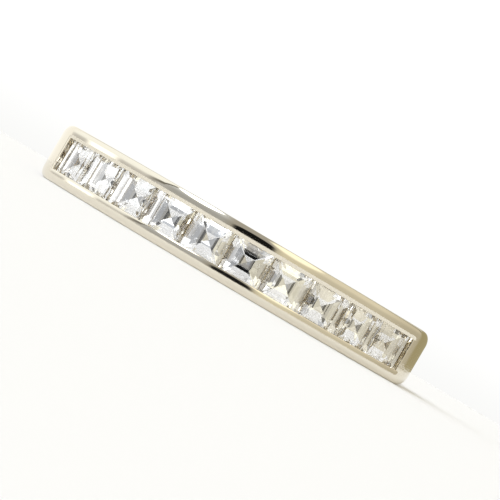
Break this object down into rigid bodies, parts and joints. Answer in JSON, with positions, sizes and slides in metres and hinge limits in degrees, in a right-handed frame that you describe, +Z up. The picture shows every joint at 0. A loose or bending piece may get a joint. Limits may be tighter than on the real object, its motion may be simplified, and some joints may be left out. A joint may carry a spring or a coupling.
{
  "type": "band ring",
  "caption": "Channel-set band ring lying on its side: square step-cut stones stand in one row between two polished rails, over a flatter arc that turns down into a plain shank.",
  "frame": {"origin": "middle of the ring's outline, on the surface that the ring lies on", "axes": "+Z up along the finger hole's axis; -Y towards the middle of the row of stones; +X to the right when the row is looked at"},
  "size_m": [0.0198, 0.0202, 0.0028],
  "materials": {
    "metal": "mirror-polished white gold, slightly warm",
    "stone": "colourless, polished flat facets"
  },
  "bodies": {
    "root": {"band": "metal", "stone_1": "stone", "stone_2": "stone", "stone_3": "stone", "stone_4": "stone", "stone_5": "stone", "stone_6": "stone", "stone_7": "stone", "stone_8": "stone", "stone_9": "stone", "stone_10": "stone"}
  },
  "joints": []
}
